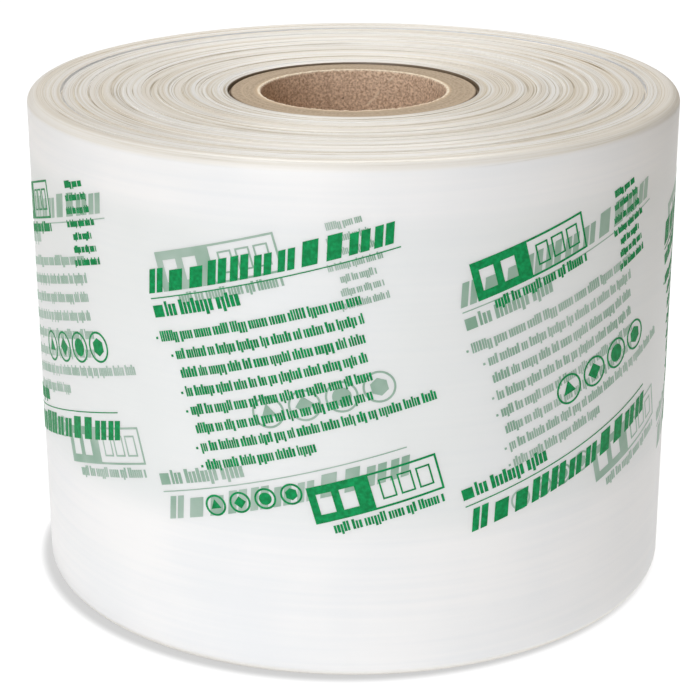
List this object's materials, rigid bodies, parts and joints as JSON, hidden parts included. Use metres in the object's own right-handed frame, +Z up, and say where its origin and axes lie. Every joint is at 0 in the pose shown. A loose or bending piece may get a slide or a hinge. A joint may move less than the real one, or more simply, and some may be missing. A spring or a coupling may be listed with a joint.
{
  "type": "air pillow film roll",
  "caption": "Roll of milky plastic film for air pillows, wound on a cardboard core with a through bore and printed in green.",
  "frame": {"origin": "where the winding axis meets the surface that the roll stands on", "axes": "+Z up along the winding axis; -Y is the side with the middle text column, which faces the viewer in the picture"},
  "size_m": [0.2662, 0.2662, 0.2032],
  "materials": {
    "milky_film": "milky translucent polyethylene film in many turns, soft gloss",
    "core_board": "smooth wound kraft board, rough in the bore",
    "green_ink": "printed ink film, half gloss"
  },
  "bodies": {
    "root": {"film_roll": "milky_film", "core": "core_board", "green_print": "green_ink"}
  },
  "joints": []
}
